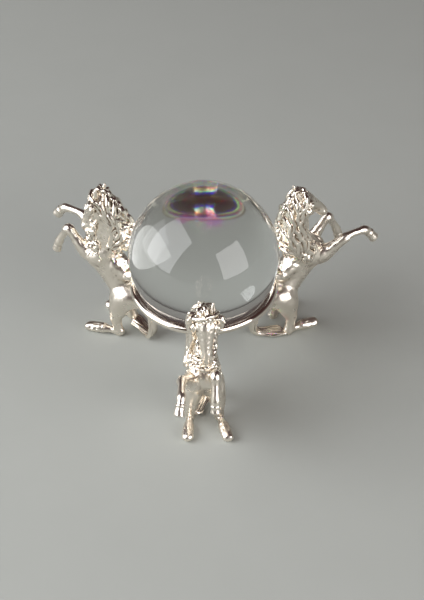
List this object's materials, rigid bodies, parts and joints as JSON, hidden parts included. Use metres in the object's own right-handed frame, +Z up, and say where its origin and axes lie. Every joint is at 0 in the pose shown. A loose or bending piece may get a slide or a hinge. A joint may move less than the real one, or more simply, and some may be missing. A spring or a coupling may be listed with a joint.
{
  "type": "crystal ball on a horse stand",
  "caption": "Solid glass ball resting in a wire ring that is carried on the backs of rearing horses, cast figures standing in a circle and facing outward.",
  "frame": {"origin": "on the table, under the middle of the ball and of the ring", "axes": "+Z up through the middle of the ring and the ball; -Y towards the front horse, so +X is to the right of someone who faces it"},
  "size_m": [0.1369, 0.1272, 0.0839],
  "materials": {
    "crystal": "polished clear glass, solid",
    "silver_plated_wire": "polished silver plate on drawn wire",
    "silver_plated_casting": "silver plate on a casting, bright on the smooth parts and darker in the grooves"
  },
  "bodies": {
    "stand": {"support_ring": "silver_plated_wire", "front_horse_body": "silver_plated_casting", "front_horse_bent_foreleg": "silver_plated_casting", "front_horse_raised_foreleg": "silver_plated_casting", "front_horse_tail": "silver_plated_casting", "right_horse_body": "silver_plated_casting", "right_horse_bent_foreleg": "silver_plated_casting", "right_horse_raised_foreleg": "silver_plated_casting", "right_horse_tail": "silver_plated_casting", "left_horse_body": "silver_plated_casting", "left_horse_bent_foreleg": "silver_plated_casting", "left_horse_raised_foreleg": "silver_plated_casting", "left_horse_tail": "silver_plated_casting"},
    "ball": {"crystal_ball": "crystal"}
  },
  "joints": [
    {"name": "ball_lift", "type": "slide", "parent": "stand", "child": "ball", "axis": [0, 0, 1], "range_m": [0, 0.05]}
  ]
}
